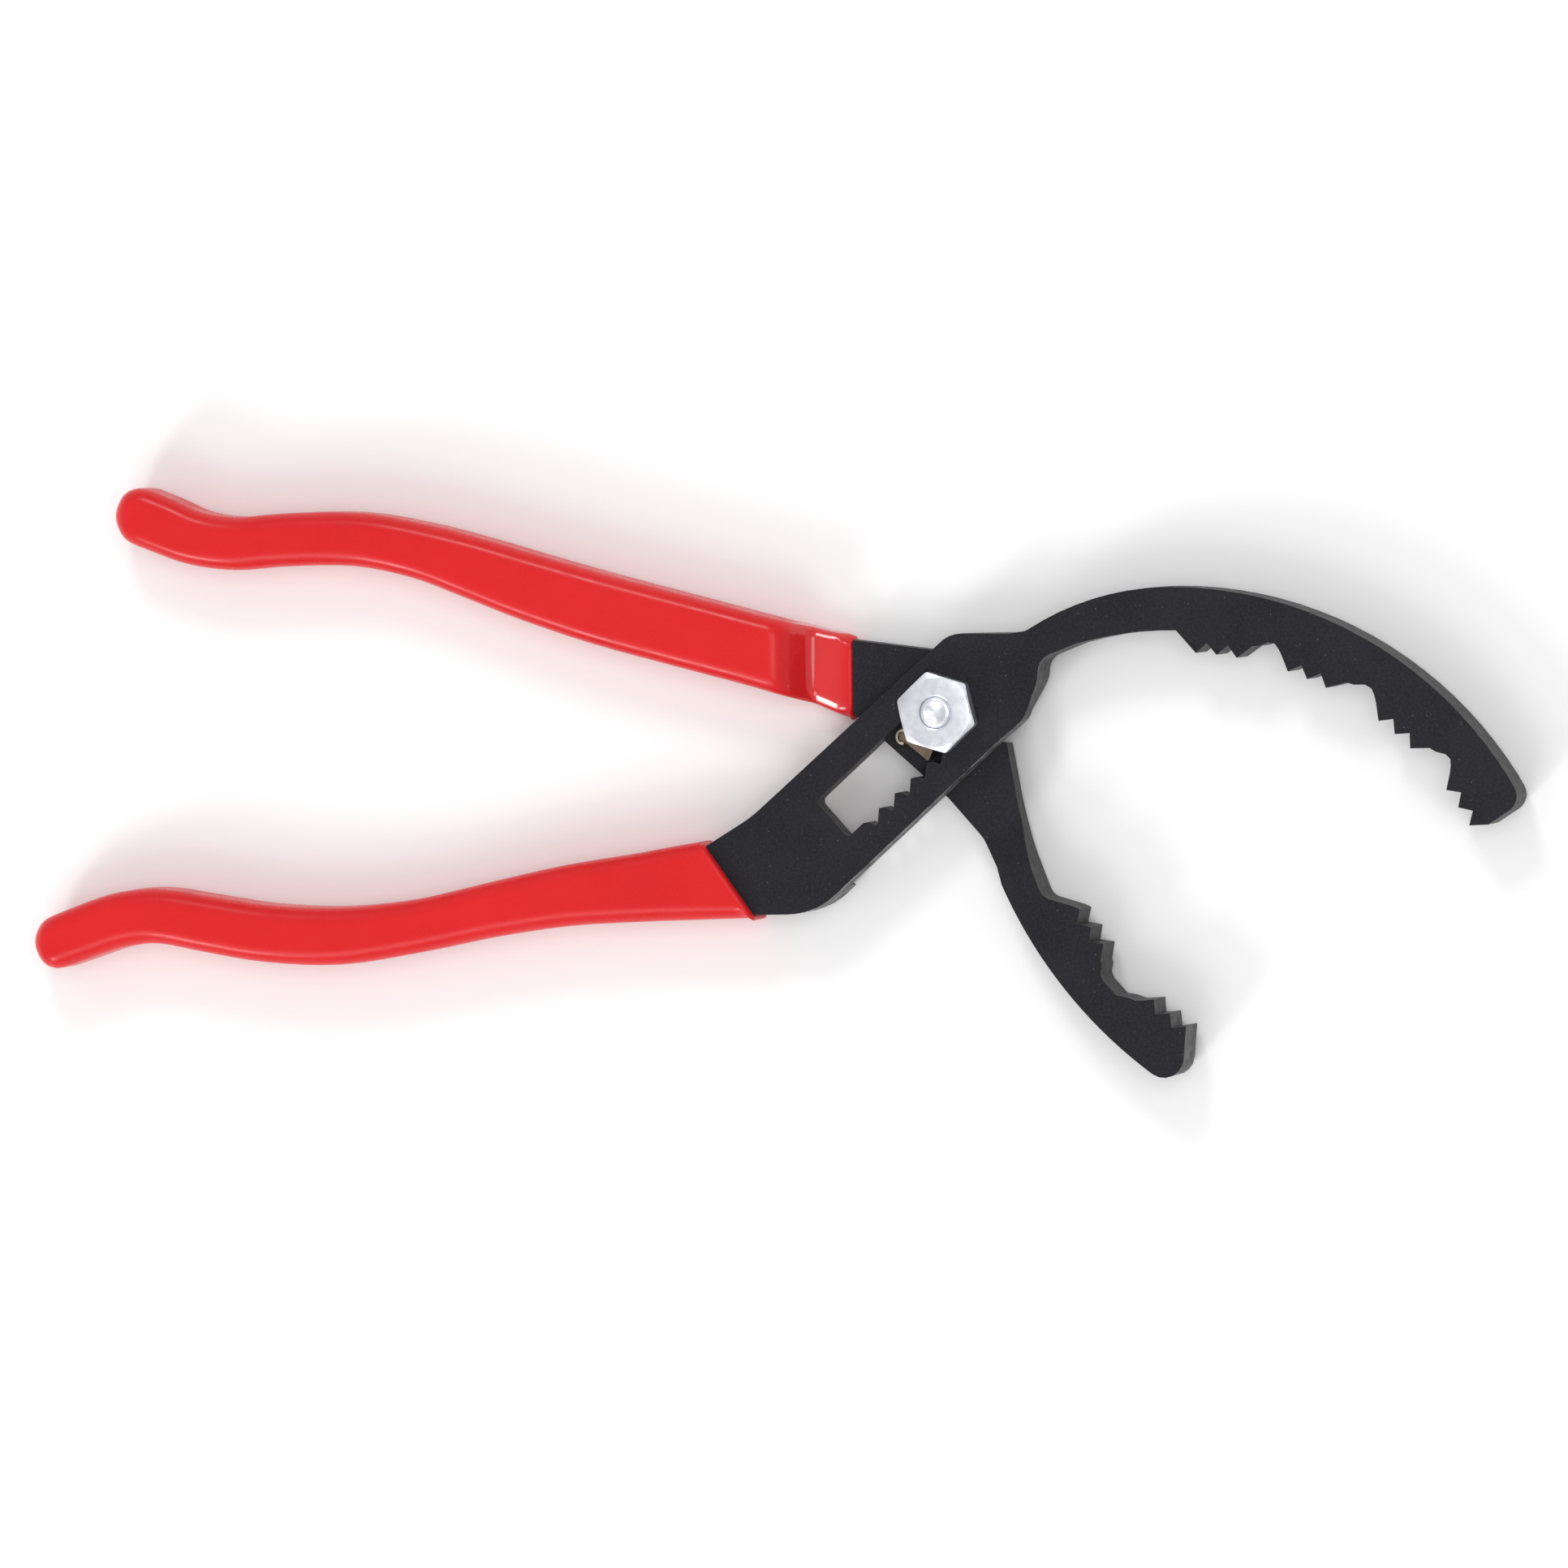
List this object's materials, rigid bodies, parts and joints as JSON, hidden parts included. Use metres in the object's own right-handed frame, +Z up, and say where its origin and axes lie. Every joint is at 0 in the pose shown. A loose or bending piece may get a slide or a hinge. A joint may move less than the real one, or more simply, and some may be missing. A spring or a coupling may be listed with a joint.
{
  "type": "oil filter pliers",
  "caption": "Slip-joint filter pliers: two levers with toothed curved jaws and dipped grips, on a bolt that slides in a racked slot and locks with a sprung pawl",
  "frame": {"origin": "on the pivot axis, level with the surface the tool lies on, which is the back of the bolt head", "axes": "+Z up through the pivot from the bolt head to the nut, +X along the tool towards the jaws, +Y towards the rear lever's grip"},
  "size_m": [0.3041, 0.1161, 0.0152],
  "materials": {
    "oxide_steel": "matte black oxide with fine specks",
    "red_vinyl": "glossy dipped vinyl",
    "zinc_plate": "bright bluish zinc plate",
    "bronzed_steel": "brown heat-treated",
    "spring_wire": "bright wire"
  },
  "bodies": {
    "front_half": {"front_lever": "oxide_steel", "front_grip": "red_vinyl"},
    "slider": {"pivot_bolt": "zinc_plate", "pivot_nut": "zinc_plate"},
    "rear_half": {"rear_lever": "oxide_steel", "rear_grip": "red_vinyl"},
    "catch": {"pawl": "bronzed_steel", "pawl_pin": "zinc_plate", "pawl_spring": "spring_wire"}
  },
  "joints": [
    {"name": "slot_slide", "type": "slide", "parent": "front_half", "child": "slider", "axis": [0.7396, 0.673, 0], "range_m": [-0.0176, 0]},
    {"name": "jaw_pivot", "type": "hinge", "parent": "slider", "child": "rear_half", "pos_m": [0, 0, 0.0068], "axis": [0, 0, 1], "range_deg": [-15, 12]},
    {"name": "pawl_turn", "type": "hinge", "parent": "slider", "child": "catch", "pos_m": [0, 0, 0.0091], "axis": [0, 0, 1], "range_deg": [0, 13], "stiffness_Nm_per_rad": 0.05, "springref_deg": 13}
  ]
}
